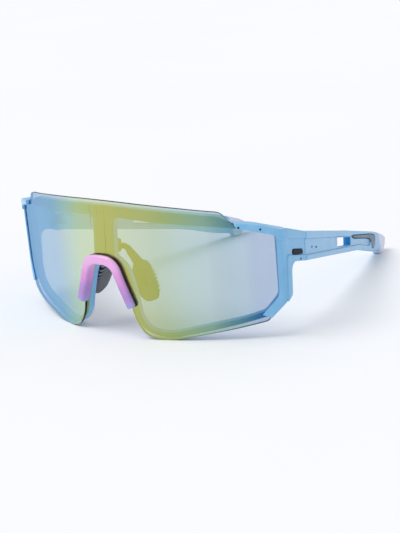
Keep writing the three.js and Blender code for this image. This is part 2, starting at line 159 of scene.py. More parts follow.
TEMPLE_PANEL = [
    (-1, 38.7, 0), (69, 22.0, 8), (101.5, 13.6, 3), (98, 9.4, 3), (80, 14.9, 4), (-1, 31.6, 0),
]
TEMPLE_WINDOW = [
    (WINDOW_FRONT, WINDOW_TOP, 0.8), (WINDOW_REAR, 22.3, 0.8),
    (WINDOW_REAR, WINDOW_LOW, 0.8), (WINDOW_FRONT, 22.0, 0.8),
]
GRIP = [
    (68.8, 22.2, 0.4), (99, 15.2, 4), (106.8, 12.6, 2.2), (106.8, 9.0, 3), (104, 6.9, 0.5),
    (101, 8.2, 0.8), (99.8, 12.8, 2.5), (92, 15.2, 3), (72, 20.2, 2),
]
SOCK = [
    (111.6, 12.9, 0.4), (120.5, 9.6, 3), (125.6, 7.0, 1.4), (124.4, 3.2, 3), (121, 0.3, 1.2),
    (116.6, 0.3, 1.0), (116.0, 2.0, 0.4),
]
# Small drops of dark ink: [along, height, radius].
HOOK_SPECKS = [(60.8, 49.9, 0.45), (69.6, 48.6, 0.4), (91.0, 31.2, 0.4)]
TEMPLE_SPECKS = [(9.2, 32.5, 0.4), (15.0, 30.9, 0.5), (57.4, 18.6, 0.35)]
BADGE = [(85.0, 36.6, 1.1), (94.0, 34.6, 1.1), (94.0, 32.6, 1.1), (85.0, 34.6, 1.1)]


def both_halves(corners):
    """The outline of a piece that is the same on both sides, from its left half."""
    mirror = [(-x, y, radius) for x, y, radius in reversed(corners) if x != 0]
    return corners + mirror


def rectangle(left, right, bottom, top, radius=0.0):
    """A clockwise outline with all its corners alike."""
    corners = [(left, top), (right, top), (right, bottom), (left, bottom)]
    return [(x, y, radius) for x, y in corners]


def grown(corners, distance):
    """The clockwise outline moved outwards."""
    moved = []
    for index, (x, y, radius) in enumerate(corners):
        before = Vector(corners[index - 1][:2])
        after = Vector(corners[(index + 1) % len(corners)][:2])
        here = Vector((x, y))
        first = (here - before).normalized()
        second = (after - here).normalized()
        normals = Vector((-first.y, first.x)), Vector((-second.y, second.x))
        scale = distance / (1 + normals[0].dot(normals[1]))
        corner = here + (normals[0] + normals[1]) * scale
        moved.append((corner.x, corner.y, radius))
    return moved


def rounded(corners, least=0.0):
    """The outline's points, with each corner rounded by a smooth curve.

    A corner with less than the least radius stays sharp, and is left to the bevel.
    """
    points = []
    for index, (x, y, radius) in enumerate(corners):
        here = Vector((x, y))
        if radius <= least:
            points.append(here)
            continue
        ends = []
        for other in (corners[index - 1], corners[(index + 1) % len(corners)]):
            side = Vector(other[:2]) - here
            ends.append(here + side * min(radius / side.length, 0.5))
        steps = 4 if radius < 2 else 7
        for step in range(steps + 1):
            t = step / steps
            points.append(ends[0] * (1 - t) ** 2 + here * 2 * t * (1 - t) + ends[1] * t * t)
    return [p for i, p in enumerate(points) if (p - points[i - 1]).length > 1e-3]


# ------------------------------------------------------------- meshes


def prism(corners, low, high, least=1.0):
    """A closed plate of the outline between two heights, as a loose object."""
    mesh = bpy.data.meshes.new("plate")
    points = rounded(corners, least)
    count = len(points)
    vertices = [(p.x, p.y, z) for z in (low, high) for p in points]
    sides = [(i, i + count, (i + 1) % count + count, (i + 1) % count) for i in range(count)]
    caps = [tuple(range(count)), tuple(range(2 * count - 1, count - 1, -1))]
    mesh.from_pydata(vertices, [], caps + sides)
    shape = bpy.data.objects.new("plate", mesh)
    bpy.context.scene.collection.objects.link(shape)
    return outward(shape)


def outward(shape):
    """The same object with its face directions made consistent."""
    mesh = bmesh.new()
    mesh.from_mesh(shape.data)
    bmesh.ops.recalc_face_normals(mesh, faces=mesh.faces)
    mesh.to_mesh(shape.data)
    mesh.free()
    return shape


def applied(shape):
    """The object with its modifiers made part of its mesh."""
    graph = bpy.context.evaluated_depsgraph_get()
    graph.update()
    mesh = bpy.data.meshes.new_from_object(shape.evaluated_get(graph))
    shape.modifiers.clear()
    shape.data = mesh
    return shape


def combined(shape, other, operation):
    """Boolean of two loose objects; the second one is used up."""
    modifier = shape.modifiers.new("cut", "BOOLEAN")
    modifier.operation = operation
    modifier.solver = "EXACT"
    modifier.object = other
    applied(shape)
    bpy.data.objects.remove(other)
    return shape


def cut(shape, *others):
    """The first object with the others, which are used up, taken out of it."""
    for other in others:
        combined(shape, other, "DIFFERENCE")
    return shape


def eased(shape, width, segments=3, angle=35, holes=None):
    """The object with its sharp edges rounded over.

    A face with a hole in it is first split at the places given in holes.
    """
    mesh = bmesh.new()
    mesh.from_mesh(shape.data)
    if holes:
        bmesh.ops.triangulate(mesh, faces=mesh.faces)
    bmesh.ops.dissolve_limit(mesh, angle_limit=0.01, verts=mesh.verts, edges=mesh.edges)
    for place in holes or ():
        split_at(mesh, place)
    mesh.to_mesh(shape.data)
    mesh.free()
    modifier = shape.modifiers.new("bevel", "BEVEL")
    modifier.width = width
    modifier.segments = segments
    modifier.limit_method = "ANGLE"
    modifier.angle_limit = math.radians(angle)
    modifier.use_clamp_overlap = False
    modifier.miter_outer = "MITER_ARC"
    return applied(shape)


def split_at(mesh, place):
    """Cuts the faces that cross a place along the length."""
    everything = mesh.verts[:] + mesh.edges[:] + mesh.faces[:]
    bmesh.ops.bisect_plane(
        mesh, geom=everything, dist=1e-4, plane_co=(place, 0, 0), plane_no=(1, 0, 0)
    )


def sliced(shape, step=SLICE):
    """The object's faces cut across its length, so that it can be bent smoothly."""
    mesh = bmesh.new()
    mesh.from_mesh(shape.data)
    bmesh.ops.triangulate(mesh, faces=mesh.faces)
    lowest = min(v.co.x for v in mesh.verts)
    highest = max(v.co.x for v in mesh.verts)
    place = math.ceil(lowest / step) * step + step * 0.137
    while place < highest:
        split_at(mesh, place)
        place += step
    bmesh.ops.remove_doubles(mesh, verts=mesh.verts, dist=1e-4)
    mesh.to_mesh(shape.data)
    mesh.free()
    return shape


def smooth_step(value, low, high):
    """A smooth rise from 0 at low to 1 at high."""
    share = min(max((value - low) / (high - low), 0.0), 1.0)
    return share * share * (3 - 2 * share)


def nose_bulge(along, height):
    """How far the lens stands forward of its cylinder round the nose."""
    sideways = smooth_step(abs(along), *BULGE_ENDS_ALONG)
    upwards = smooth_step(height, *BULGE_ENDS_UP)
    return NOSE_BULGE * sideways * upwards


def lens_point(along, height, proud):
    """A point near the lens, in millimetres in the row frame."""
    angle = along / LENS_RADIUS
    radius = LENS_RADIUS + proud + nose_bulge(along, height)
    flat = Vector((radius * math.sin(angle), -radius * math.cos(angle), height))
    return Matrix.Rotation(FORWARD_LEAN, 3, "X") @ flat + Vector((0, AXIS_BACK, 0)) + ROW_SHIFT


def side_point(yaw):
    """A mapping from [back from the seam, height, outwards] to the row frame."""
    place = Matrix.Translation(SEAM + ROW_SHIFT) @ Matrix.Rotation(yaw, 4, "Z")
    return lambda back, height, out: place @ Vector((out, back, height))


hook_side_point = side_point(HOOK_YAW)
temple_point = side_point(TEMPLE_YAW)


def hook_point(along, height, out):
    """A point on the hook: beside the lens, on the rounded corner, or on the side."""
    if along >= CORNER_END:
        return hook_side_point(along - SEAM_ALONG, height, out)
    if along > CORNER_START:
        share = (along - CORNER_START) / (CORNER_END - CORNER_START)
        first = hook_point(CORNER_START, height, out)
        return first.lerp(hook_point(CORNER_END, height, out), share)
    up_the_lens = (height - hook_height(along, 0)) / math.cos(FORWARD_LEAN)
    return lens_point(along, up_the_lens, CLAW_FRONT + out)


def hook_height(along, up_the_lens):
    """The height above the floor of a point on the lens face."""
    drop = LENS_RADIUS * math.cos(along / LENS_RADIUS) * math.sin(FORWARD_LEAN)
    return up_the_lens * math.cos(FORWARD_LEAN) - drop


def as_drawn(x, y, z):
    """The mapping of a piece that is drawn where it belongs."""
    return Vector((x, y, z))


def placed(shape, mapping, mirror=False):
    """The flat object moved to its place in the row frame, in metres."""
    for vertex in shape.data.vertices:
        point = mapping(*vertex.co)
        if mirror:
            point.x = -point.x
        vertex.co = point * MM
    return outward(shape)


def copied(shape):
    """A second object with a mesh of its own."""
    twin = bpy.data.objects.new(shape.name, shape.data.copy())
    bpy.context.scene.collection.objects.link(twin)
    return twin


def merged(first, *others):
    """One object holding the meshes of several, none of them cut."""
    mesh = bmesh.new()
    for shape in (first, *others):
        mesh.from_mesh(shape.data)
    mesh.to_mesh(first.data)
    mesh.free()
    for shape in others:
        bpy.data.objects.remove(shape)
    return first


def finished(shape, name, body, slot, material, replaces=(), smooth=40):
    """Names the piece, shades it, hangs it on its body and hides the CAD parts that it replaces."""
    shape.name = name
    shape.data.name = name
    if not shape.data.materials:
        shape.data.materials.append(material)
    for polygon in shape.data.polygons:
        polygon.use_smooth = True
    shape.data.set_sharp_from_angle(angle=math.radians(smooth))
    weighted = shape.modifiers.new("normals", "WEIGHTED_NORMAL")
    weighted.keep_sharp = True
    weighted.weight = NORMAL_WEIGHT
    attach(shape, body)
    if replaces:
        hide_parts(*replaces)


def pair(shape, mapping, name, bodies, slot, material, replaces=(), **options):
    """The left piece and its mirror image; replaces holds node names without their side."""
    twin = copied(shape)
    for part, side, body in ((shape, "left", bodies[0]), (twin, "right", bodies[1])):
        placed(part, mapping, mirror=side == "right")
        nodes = [n if n == "front_frame" else f"{n}_{side}" for n in replaces]
        finished(part, f"{name}_{side}", body, slot, material, nodes, **options)


# ------------------------------------------------------------- materials


def linear(code):
    """A scene colour from a web colour code."""
    shares = [int(code[i:i + 2], 16) / 255 for i in (0, 2, 4)]
    channels = [c / 12.92 if c <= 0.04045 else ((c + 0.055) / 1.055) ** 2.4 for c in shares]
    return (*channels, 1.0)


class Graph:
    """A material's node tree, with short calls for the nodes used here."""

    def __init__(self, name):
        self.material = bpy.data.materials.new(name)
        self.material.use_nodes = True
        self.tree = self.material.node_tree
        self.tree.nodes.clear()
        self.output = self.node("ShaderNodeOutputMaterial")

    def node(self, kind, **values):
        made = self.tree.nodes.new(kind)
        for key, value in values.items():
            if hasattr(made, key):
                setattr(made, key, value)
            else:
                self.feed(made, key.replace("_", " "), value)
        return made

    def feed(self, node, socket, value):
        target = next(s for s in node.inputs if s.name == socket)
        if isinstance(value, bpy.types.NodeSocket):
            self.tree.links.new(value, target)
        else:
            target.default_value = value

    def math(self, operation, first, second=0.0, third=0.0):
        made = self.node("ShaderNodeMath", operation=operation)
        for index, value in enumerate((first, second, third)):
            if isinstance(value, bpy.types.NodeSocket):
                self.tree.links.new(value, made.inputs[index])
            else:
                made.inputs[index].default_value = value
        return made.outputs[0]

    def place(self):
        return self.node("ShaderNodeTexCoord").outputs["Object"]

    def noise(self, scale, detail=3.0, roughness=0.5):
        made = self.node("ShaderNodeTexNoise", Scale=scale, Detail=detail, Roughness=roughness)
        self.tree.links.new(self.place(), made.inputs["Vector"])
        return made.outputs["Fac"]

    def ramp(self, factor, stops, smooth=True):
        made = self.node("ShaderNodeValToRGB")
        made.color_ramp.interpolation = "EASE" if smooth else "LINEAR"
        elements = made.color_ramp.elements
        while len(elements) < len(stops):
            elements.new(0.5)
        for element, (position, colour) in zip(elements, stops):
            element.position = position
            element.color = linear(colour)
        self.tree.links.new(factor, made.inputs["Fac"])
        return made.outputs["Color"]

    def levels(self, factor, low, high):
        """A number spread from low to high by a factor from 0 to 1."""
        made = self.node("ShaderNodeMapRange", To_Min=low, To_Max=high)
        self.tree.links.new(factor, made.inputs["Value"])
        return made.outputs["Result"]

    def bump(self, height, distance):
        made = self.node("ShaderNodeBump", Distance=distance)
        self.tree.links.new(height, made.inputs["Height"])
        return made.outputs["Normal"]

    def surface(self, shader):
        self.tree.links.new(shader, self.output.inputs["Surface"])
        return self.material


CLOUD_SCALE = 90.0
PLASTIC_GRAIN = (3200, 0.00002)
CLIP_GRAIN = (2600, 0.00002)
RUBBER_GRAIN = (2400, 0.00003)


def grained(graph, colour, roughness, grain, **values):
    """A glossy surface with a fine grain; roughness is [least, most], grain [scale, depth]."""
    scale, depth = grain
    fine = graph.noise(scale, 2.0, 0.6)
    shader = graph.node(
        "ShaderNodeBsdfPrincipled",
        Base_Color=colour,
        Roughness=graph.levels(fine, *roughness),
        Normal=graph.bump(fine, depth),
        **values,
    )
    return graph.surface(shader.outputs[0])


def moulded(name, stops, roughness, grain, specular=0.5, coat=0.0):
    """Moulded plastic or rubber: cloudy colour, a fine surface grain and uneven gloss."""
    graph = Graph(name)
    colour = graph.ramp(graph.noise(CLOUD_SCALE, 4.0, 0.55), stops)
    gloss = {"Specular_IOR_Level": specular, "Coat_Weight": coat, "Coat_Roughness": 0.12}
    return grained(graph, colour, roughness, grain, **gloss)


frame_blue = moulded(
    "frame_blue",
    [(0.25, "6EB1E0"), (0.5, "7ABBE8"), (0.75, "8AC5EE")],
    (0.22, 0.34),
    PLASTIC_GRAIN,
    coat=0.25,
)
# A darker, more saturated blue for the window's walls: painted shade in the slot and painted light
# through the plastic.
frame_painted_shade = moulded(
    "frame_blue_painted_shade", [(0.3, "1E8CCC"), (0.7, "2A9ADA")], (0.3, 0.4), PLASTIC_GRAIN
)


def clip_paint():
    """Pink on the arch, fading to lavender at both ends, under a clear gloss."""
    graph = Graph("clip_pink")
    split = graph.node("ShaderNodeSeparateXYZ", Vector=graph.place())
    cloud = graph.noise(160, 3.0)
    fade_height = 22 * MM
    height = graph.math("MULTIPLY_ADD", split.outputs["Z"], 1 / fade_height, -0.62)
    share = graph.math("MULTIPLY_ADD", cloud, 0.2, height)
    stops = [(0.0, "9FA4E0"), (0.35, "B48AD2"), (0.7, "DD98DC"), (1.0, "EFB4EA")]
    return grained(graph, graph.ramp(share, stops), (0.22, 0.3), CLIP_GRAIN, Coat_Weight=0.3)


clip_pink = clip_paint()
rubber_black = moulded(
    "rubber_black", [(0.3, "0C0E12"), (0.7, "16181E")], (0.3, 0.42), RUBBER_GRAIN
)
rubber_grey = moulded(
    "rubber_grey", [(0.3, "76828F"), (0.7, "8A96A4")], (0.5, 0.68), (2400, 0.00005)
)
tip_lilac = moulded(
    "tip_lilac", [(0.3, "CEDAF2"), (0.7, "DCE4F8")], (0.3, 0.42), (2400, 0.00004)
)
ink_black = moulded(
    "ink_black", [(0.3, "05070B"), (0.7, "0B0F16")], (0.42, 0.55), (3000, 0.00002), specular=0.2
)


def rim_front_painted_light():
    """The rim's front face behind the lens: greenish in the middle, deep blue at both ends, which is
    painted light tinted by the lens coat and painted shade at the ends.
    """
    graph = Graph("rim_front_painted_light")
    split = graph.node("ShaderNodeSeparateXYZ", Vector=graph.place())
    from_middle = graph.math("ABSOLUTE", split.outputs["X"])
    fade_width = 46 * MM
    share = graph.math("MULTIPLY_ADD", from_middle, 1 / fade_width, -0.43)
    cloud = graph.noise(CLOUD_SCALE, 4.0, 0.55)
    mottled = graph.math("MULTIPLY_ADD", cloud, 0.12, share)
    # The stops are painted light and shade: green in the middle, deep shaded blue at the ends.
    stops = [(0.0, "90B494"), (0.45, "6CB0C8"), (1.0, "1488D4")]
    return grained(graph, graph.ramp(mottled, stops, smooth=False), (0.26, 0.38), PLASTIC_GRAIN)


def brushed_steel():
    graph = Graph("brushed_steel")
    fine = graph.noise(4200, 2.0)
    shader = graph.node(
        "ShaderNodeBsdfPrincipled",
        Base_Color=graph.ramp(fine, [(0.3, "A9ADB4"), (0.7, "C6C9CF")]),
        Roughness=graph.levels(fine, 0.22, 0.38),
        Normal=graph.bump(fine, 0.00002),
    )
    shader.inputs["Metallic"].default_value = 1.0
    return graph.surface(shader.outputs[0])


steel = brushed_steel()

# The length along the lens that the coat's colours are spread over.
COAT_LENGTH = 155
# From the wearer's right end to the left: what passes through the mirror coat once, and
# what the coat sends back.
COAT_PASSES = [
    (0.0, "84756B"), (0.24, "89847B"), (0.36, "867884"), (0.5, "7B91B1"), (0.66, "7589B0"),
    (0.74, "9195CC"), (0.82, "A19CC4"), (0.9, "B6BCCF"), (1.0, "BAC2D2"),
]
COAT_RETURNS = [
    (0.0, "83AFD2"), (0.2, "86ABCC"), (0.3, "86ADC2"), (0.37, "9CBCAB"), (0.42, "ABBE86"),
    (0.5, "B7B553"), (0.64, "ABAF5C"), (0.74, "90A542"), (0.8, "809E61"), (0.86, "587D58"),
    (0.93, "284E55"), (1.0, "1B3A53"),
]


def mirror_lens():
    """The coated front face: part of the light passes and part is sent back."""
    graph = Graph("lens_mirror_coat")
    mapping = graph.node("ShaderNodeMapping", vector_type="TEXTURE")
    mapping.inputs["Location"].default_value = (Vector((0, AXIS_BACK, 0)) + ROW_SHIFT) * MM
    mapping.inputs["Rotation"].default_value = (FORWARD_LEAN, 0, 0)
    graph.tree.links.new(graph.place(), mapping.inputs["Vector"])
    split = graph.node("ShaderNodeSeparateXYZ", Vector=mapping.outputs["Vector"])
    backwards = graph.math("MULTIPLY", split.outputs["Y"], -1.0)
    angle = graph.math("ARCTAN2", split.outputs["X"], backwards)
    along = graph.math("MULTIPLY_ADD", angle, LENS_RADIUS / COAT_LENGTH, 0.5)
    passed = graph.ramp(along, COAT_PASSES, smooth=False)
    returned = graph.ramp(along, COAT_RETURNS, smooth=False)
    clear = graph.node("ShaderNodeBsdfTransparent", Color=passed)
    mirror = graph.node("ShaderNodeBsdfAnisotropic", Color=returned, Roughness=0.08)
    both = graph.node("ShaderNodeAddShader")
    graph.tree.links.new(clear.outputs[0], both.inputs[0])
    graph.tree.links.new(mirror.outputs[0], both.inputs[1])
    return graph.surface(both.outputs[0])


def lens_inside():
    """The uncoated back face: nearly clear, with a weak reflection."""
    graph = Graph("lens_inside")
    tint = graph.ramp(graph.noise(60), [(0.0, "F8F8F8"), (1.0, "FFFFFF")])
    clear = graph.node("ShaderNodeBsdfTransparent", Color=tint)
    gloss = graph.node("ShaderNodeBsdfAnisotropic", Color=(1, 1, 1, 1), Roughness=0.05)
    mix = graph.node("ShaderNodeMixShader")
    mix.inputs[0].default_value = 0.04
    graph.tree.links.new(clear.outputs[0], mix.inputs[1])
    graph.tree.links.new(gloss.outputs[0], mix.inputs[2])
    return graph.surface(mix.outputs[0])


def lens_edge():
    """The dark ground edge of the lens."""
    graph = Graph("lens_edge")
    colour = graph.ramp(graph.noise(400), [(0.3, "0C1620"), (0.7, "142430")])
    shader = graph.node("ShaderNodeBsdfPrincipled", Base_Color=colour, Roughness=0.25)
    return graph.surface(shader.outputs[0])


# ------------------------------------------------------------- the front


def lens_shield():
    """The one-piece lens: coated in front, clear behind, dark along its edge."""
    shape = prism(both_halves(LENS_HALF), -LENS_THICKNESS, 0)
    eased(shape, 0.15, 2)
    sliced(shape)
    coated, clear, edge = range(3)
    for material in (mirror_lens(), lens_inside(), lens_edge()):
        shape.data.materials.append(material)
    for polygon in shape.data.polygons:
        face = coated if polygon.center.z > -LENS_THICKNESS / 2 else clear
        polygon.material_index = edge if abs(polygon.normal.z) < 0.9 else face
    placed(shape, lens_point)
    finished(shape, "lens", "front", "lens_mirror", None, ["lens_shield"])


def frame_rim():
    """The rim behind the lens, with an opening for each eye and a slot for the clip."""
    opening = [(-x, y, radius) for x, y, radius in reversed(EYE_OPENING)]
    shape = prism(both_halves(FRAME_HALF), FRAME_BACK, FRAME_FRONT)
    cut(shape, prism(EYE_OPENING, FRAME_BACK - 1, 0), prism(opening, FRAME_BACK - 1, 0))
    cut(shape, prism(rectangle(*ARCH_SLOT), FRAME_BACK - 1, 1))
    eased(shape, 0.45, holes=(-45, 0, 45))
    sliced(shape)
    shape.data.materials.append(frame_blue)
    shape.data.materials.append(rim_front_painted_light())
    # Faces towards the lens take the rim's painted light and shade.
    for polygon in shape.data.polygons:
        faces_the_lens = polygon.normal.z > 0.6
        polygon.material_index = int(faces_the_lens)
    placed(shape, lens_point)
    finished(shape, "frame_rim", "front", "frame_blue", frame_blue, ["front_frame"])


def hooks():
    """Claw and endpiece in one moulding, with two raised ribs and a sunk panel between."""
    shape = prism(HOOK, -HOOK_THICKNESS, 0)
    lens_edge_room = [(x, hook_height(x, y), r) for x, y, r in grown(both_halves(LENS_HALF), FIT)]
    cut(shape, prism(lens_edge_room, -HOOK_THICKNESS - 1, 0.05 - CLAW_FRONT))
    cut(shape, prism(HOOK_PANEL, -PANEL_DEPTH, 1))
    cut(shape, prism(grown(BADGE, INSERT_GAP), -PANEL_DEPTH - BADGE_SEAT, 1))
    eased(shape, 0.35)
    sliced(shape, 1.0)
    pair(
        shape, hook_point, "hook", ("front", "front"),
        "frame_blue", frame_blue, ["front_frame"]
    )


def upright(radius, low, high, segments=32):
    """A round post on the hinge axis, drawn in side coordinates."""
    mesh = bmesh.new()
    bmesh.ops.create_cone(
        mesh, cap_ends=True, segments=segments, radius1=radius, radius2=radius, depth=high - low
    )
    turn = Matrix.Translation((0, (low + high) / 2, -PIVOT_INSET)) @ Matrix.Rotation(math.pi / 2, 4, "X")
    mesh.transform(turn)
    data = bpy.data.meshes.new("post")
    mesh.to_mesh(data)
    mesh.free()
    post = bpy.data.objects.new("post", data)
    bpy.context.scene.collection.objects.link(post)
    return outward(post)


def hinge_lugs():
    """Two lugs on each side of the front, sunk for the head and the nut of the screw."""
    lugs = []
    for (low, high), seat in zip((LOWER_LUG, UPPER_LUG), HEAD_SEATS):
        lug = upright(KNUCKLE_RADIUS, low, high)
        arm = prism(rectangle(-LUG_REACH, 0, low, high), -PIVOT_INSET - KNUCKLE_RADIUS, LUG_FACE)
        combined(lug, arm, "UNION")
        cut(lug, upright(HEAD_RADIUS, *seat))
        eased(lug, 0.25, 2)
        lugs.append(lug)
    shape = merged(*lugs)
    pair(
        shape, temple_point, "hinge_lugs", ("front", "front"),
        "frame_blue", frame_blue, ["front_frame"]
    )


# ------------------------------------------------------------- nose parts


def nose_clip():
    """The arch over the nose, with a skirt over the lens's nose edge and a tongue behind."""
    shape = prism(both_halves(CLIP_HALF), CLIP_BACK, CLIP_FRONT, least=1.5)
    eased(shape, 1.0, 6)
    tongue = prism(rectangle(*CLIP_TONGUE), *TONGUE_DEPTHS)
    skirt = prism(both_halves(CLIP_HALF), FRAME_FRONT + 0.1, CLIP_BACK + 0.8, least=1.5)
    cut(skirt, prism(grown(both_halves(LENS_HALF), 0.2), FRAME_FRONT - 1, CLIP_FRONT))
    sliced(merged(shape, eased(tongue, 0.15, 2), skirt))
    placed(shape, lens_point)
    finished(shape, "nose_clip_cap", "front", "clip_pink", clip_pink, ["nose_clip"])


def clip_gasket():
    """The thin rubber layer between the arch and the lens."""
    shape = prism(grown(both_halves(CLIP_HALF), 0.1), 0.1, CLIP_BACK + 0.5)
    arch = [corner for corner in reversed(LENS_HALF) if corner[0] < 15 and corner[1] < 45]
    nose_room = grown(both_halves(arch + [(14, 0, 0)]), 0.6)
    cut(shape, prism(nose_room, -1, CLIP_FRONT))
    eased(shape, 0.2, 2)
    sliced(shape)
    placed(shape, lens_point)
    finished(shape, "clip_gasket", "front", "rubber_black", rubber_black, ["nose_clip_gasket"])


def tube(points, radii, segments=20):
    """A round tube along the points, with flat ends."""
    mesh = bmesh.new()
    rings = []
    side = None
    for index, point in enumerate(points):
        before = points[max(index - 1, 0)]
        after = points[min(index + 1, len(points) - 1)]
        forward = (after - before).normalized()
        side = (side or Vector((0, 0, 1))) - forward * forward.dot(side or Vector((0, 0, 1)))
        side.normalize()
        other = forward.cross(side)
        ring = []
        for k in range(segments):
            turn = 2 * math.pi * k / segments
            outwards = side * math.cos(turn) + other * math.sin(turn)
            ring.append(mesh.verts.new(point + outwards * radii[index]))
        rings.append(ring)
    for first, second in zip(rings, rings[1:]):
        for k in range(segments):
            following = (k + 1) % segments
            mesh.faces.new((first[k], first[following], second[following], second[k]))
    mesh.faces.new(rings[0])
    mesh.faces.new(rings[-1])
    data = bpy.data.meshes.new("tube")
    mesh.to_mesh(data)
    mesh.free()
    shape = bpy.data.objects.new("tube", data)
    bpy.context.scene.collection.objects.link(shape)
    return outward(shape)


def smooth_route(stops, steps):
    """Points along a Catmull-Rom curve through the stops."""
    padded = [stops[0] * 2 - stops[1], *stops, stops[-1] * 2 - stops[-2]]
    points = []
    for i in range(len(stops) - 1):
        a, b, c, d = padded[i:i + 4]
        for step in range(steps):
            t = step / steps
            straight = b * 2 + (c - a) * t
            curved = (a * 2 - b * 5 + c * 4 - d) * t * t + (b * 3 - a - c * 3 + d) * t ** 3
            points.append((straight + curved) / 2)
    return points + [stops[-1]]


# The pad arm's middle line, from the saddle down to the pad.
ARM_STOPS = [
    lens_point(2.6, 45.4, FRAME_BACK - 2.0),
    Vector((5.2, 1.8, 38.4)) + ROW_SHIFT,
    Vector((7.0, 2.6, 36.0)) + ROW_SHIFT,
    Vector((9.0, 4.5, 31.6)) + ROW_SHIFT,
    Vector((10.9, 6.1, 27.5)) + ROW_SHIFT,
    Vector((12.6, 6.6, 23.5)) + ROW_SHIFT,
]


def nose_arms():
    """The rubber arms, which thicken from the saddle to the pads."""
    points = smooth_route(ARM_STOPS, 8)
    last = len(points) - 1
    shares = [smooth_step(i / last, *ARM_SPREADS_OVER) for i in range(len(points))]
    radii = [ARM_RADIUS + ARM_SPREAD * share for share in shares]
    shape = tube(points, radii)
    pair(
        shape, as_drawn, "pad_arm", ("pad_left", "pad_right"),
        "rubber_black", rubber_black, ["nose_arm"]
    )


PAD_TURN = Matrix.Rotation(-PAD_SPLAY, 4, "Z") @ Matrix.Rotation(-PAD_FLARE, 4, "Y")


def ribbed_rubber_painted_highlights():
    """Black rubber whose raised ribs carry pale lines along their crests, which are painted highlights.
    """
    graph = Graph("ribbed_rubber_painted_highlights")
    split = graph.node("ShaderNodeSeparateXYZ", Vector=graph.place())
    folded = graph.node(
        "ShaderNodeCombineXYZ",
        X=graph.math("ABSOLUTE", split.outputs["X"]),
        Y=split.outputs["Y"],
        Z=split.outputs["Z"],
    )
    mapping = graph.node("ShaderNodeMapping", vector_type="TEXTURE", Vector=folded.outputs[0])
    mapping.inputs["Location"].default_value = (PAD_CENTRE + ROW_SHIFT) * MM
    mapping.inputs["Rotation"].default_value = PAD_TURN.to_euler()
    local = graph.node("ShaderNodeSeparateXYZ", Vector=mapping.outputs["Vector"])
    slanted = graph.math("MULTIPLY_ADD", local.outputs["Y"], -RIB_SLANT, local.outputs["Z"])
    phase = graph.math("MULTIPLY", slanted, math.pi / (RIB_PITCH * MM))
    crest = graph.math("ABSOLUTE", graph.math("COSINE", phase))
    # The pale colour on the very crests is a painted highlight.
    colour = graph.ramp(crest, [(0.9, "050609"), (0.99, "C8CDD6")])
    return grained(graph, colour, (0.3, 0.42), RUBBER_GRAIN)


def nose_pads():
    """Oval rubber pads with slanted ribs across the face that touches the nose."""
    mesh = bmesh.new()
    bmesh.ops.create_uvsphere(mesh, u_segments=96, v_segments=120, radius=1)
    for vertex in mesh.verts:
        x, y, z = vertex.co
        oval = (abs(y) ** PAD_OVAL + abs(z) ** PAD_OVAL) ** (1 / PAD_OVAL)
        size = (abs(x) ** PAD_CUSHION + oval ** PAD_CUSHION) ** (1 / PAD_CUSHION)
        flat = Vector((x * PAD_HALF.x, y * PAD_HALF.y, z * PAD_HALF.z)) / size
        phase = (flat.z - flat.y * RIB_SLANT) / RIB_PITCH
        rib = abs(math.cos(math.pi * phase)) ** RIB_SHARPNESS
        rear = smooth_step(flat.y, *REAR_RIBS)
        share = max(smooth_step(flat.x, 1.0, 0.0), rear * REAR_RIB_GAIN)
        flat -= Vector((x * 0.8, y * 0.8, z * 0.3)).normalized() * RIB_DEPTH * (1 - rib) * share
        vertex.co = PAD_TURN @ flat + PAD_CENTRE + ROW_SHIFT
    data = bpy.data.meshes.new("pad")
    mesh.to_mesh(data)
    mesh.free()
    data.materials.append(rubber_black)
    data.materials.append(ribbed_rubber_painted_highlights())
    for polygon in data.polygons:
        faces_the_nose = polygon.normal.x < -0.25
        polygon.material_index = int(faces_the_nose)
    pad = bpy.data.objects.new("pad", data)
    bpy.context.scene.collection.objects.link(pad)
    boss = eased(prism(rectangle(*PAD_BOSS, 1.4), 0, PAD_BOSS_HEIGHT), 0.7, 4)
    for vertex in boss.data.vertices:
        y, z, x = vertex.co
        vertex.co = PAD_TURN @ Vector((x, y, z)) + PAD_CENTRE + ROW_SHIFT
    merged(pad, boss)
    pair(
        pad, as_drawn, "nose_pad", ("pad_left", "pad_right"),
        "rubber_black", rubber_black, ["nose_pad"], smooth=60
    )


def nose_saddle():
    """The rubber block behind the bridge that holds both pad arms."""
    shape = prism(rectangle(*SADDLE, 1.2), *SADDLE_DEPTHS)
    sliced(eased(shape, 0.8, 4))
    placed(shape, lens_point)
    finished(shape, "pad_saddle", "front", "rubber_black", rubber_black, ["nose_saddle"])


# ------------------------------------------------------------- temples


def window_wall(polygon):
    """Whether a face of the flat temple is in the wall of its window, where painted shade goes."""
    back, height, out = polygon.center
    near_end = min(abs(back - WINDOW_FRONT), abs(back - WINDOW_REAR)) < 0.5
    lengthwise = WINDOW_FRONT - 0.4 < back < WINDOW_REAR + 0.2
    at_end = near_end and WINDOW_LOW - 0.9 < height < WINDOW_TOP + 0.3
    level = at_end or WINDOW_LOW < height < WINDOW_TOP
    deep = 0.2 - SIDE_THICKNESS < out < -PANEL_DEPTH
    return lengthwise and level and deep and abs(polygon.normal.z) < 0.3


